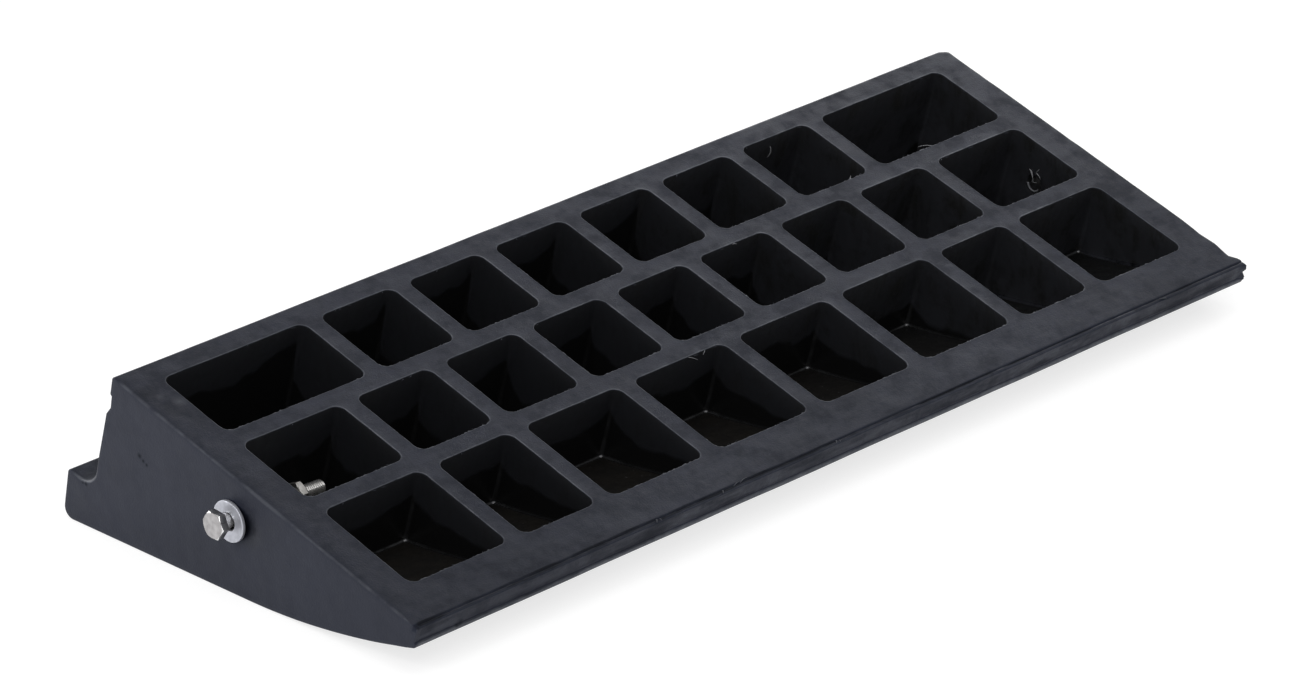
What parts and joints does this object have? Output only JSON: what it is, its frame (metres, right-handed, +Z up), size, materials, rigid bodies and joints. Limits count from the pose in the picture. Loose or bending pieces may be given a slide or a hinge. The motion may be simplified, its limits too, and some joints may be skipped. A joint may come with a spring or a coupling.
{
  "type": "rubber kerb ramp",
  "caption": "Wedge-shaped rubber kerb ramp with a hooked back lip, a pocketed hollow underside and a loose through bolt, nut and washer for linking it to the next ramp.",
  "frame": {"origin": "middle of the flat of the driving face, which lies on the ground", "axes": "+X along the ramp, away from the end that holds the bolt; +Y from the toe towards the lip; +Z up, out of the ramp's hollow underside. The ramp lies upside down, as it is pictured: for use it is turned over about X"},
  "size_m": [0.612, 0.2608, 0.0901],
  "materials": {
    "black_rubber": "matt charcoal moulded rubber, slightly dusty, with scuffs and trimmed flash",
    "zinc_bolt": "bright zinc-plated steel, satin",
    "zinc_nut": "zinc-plated steel, satin grey",
    "zinc_washer": "bright zinc-plated steel, tumbled edges"
  },
  "bodies": {
    "ramp": {"ramp_body": "black_rubber"},
    "bolt": {"linking_bolt": "zinc_bolt"},
    "nut": {"bolt_nut": "zinc_nut"},
    "washer": {"bolt_washer": "zinc_washer"}
  },
  "joints": [
    {"name": "bolt_turn", "type": "hinge", "parent": "ramp", "child": "bolt", "pos_m": [-0.2898, -0.0592, 0.04018], "axis": [0.9989, 0, -0.0471], "range_deg": [-3960, 720]},
    {"name": "nut_travel", "type": "slide", "parent": "ramp", "child": "nut", "axis": [0.9989, 0, -0.0471], "range_m": [-0.00251, 0.01376]},
    {"name": "washer_slide", "type": "slide", "parent": "ramp", "child": "washer", "axis": [-0.9989, 0, 0.0471], "range_m": [0, 0.0047]}
  ],
  "couplings": [
    {"joint": "nut_travel", "follows": "bolt_turn", "m_per_rad": -0.00019894}
  ]
}
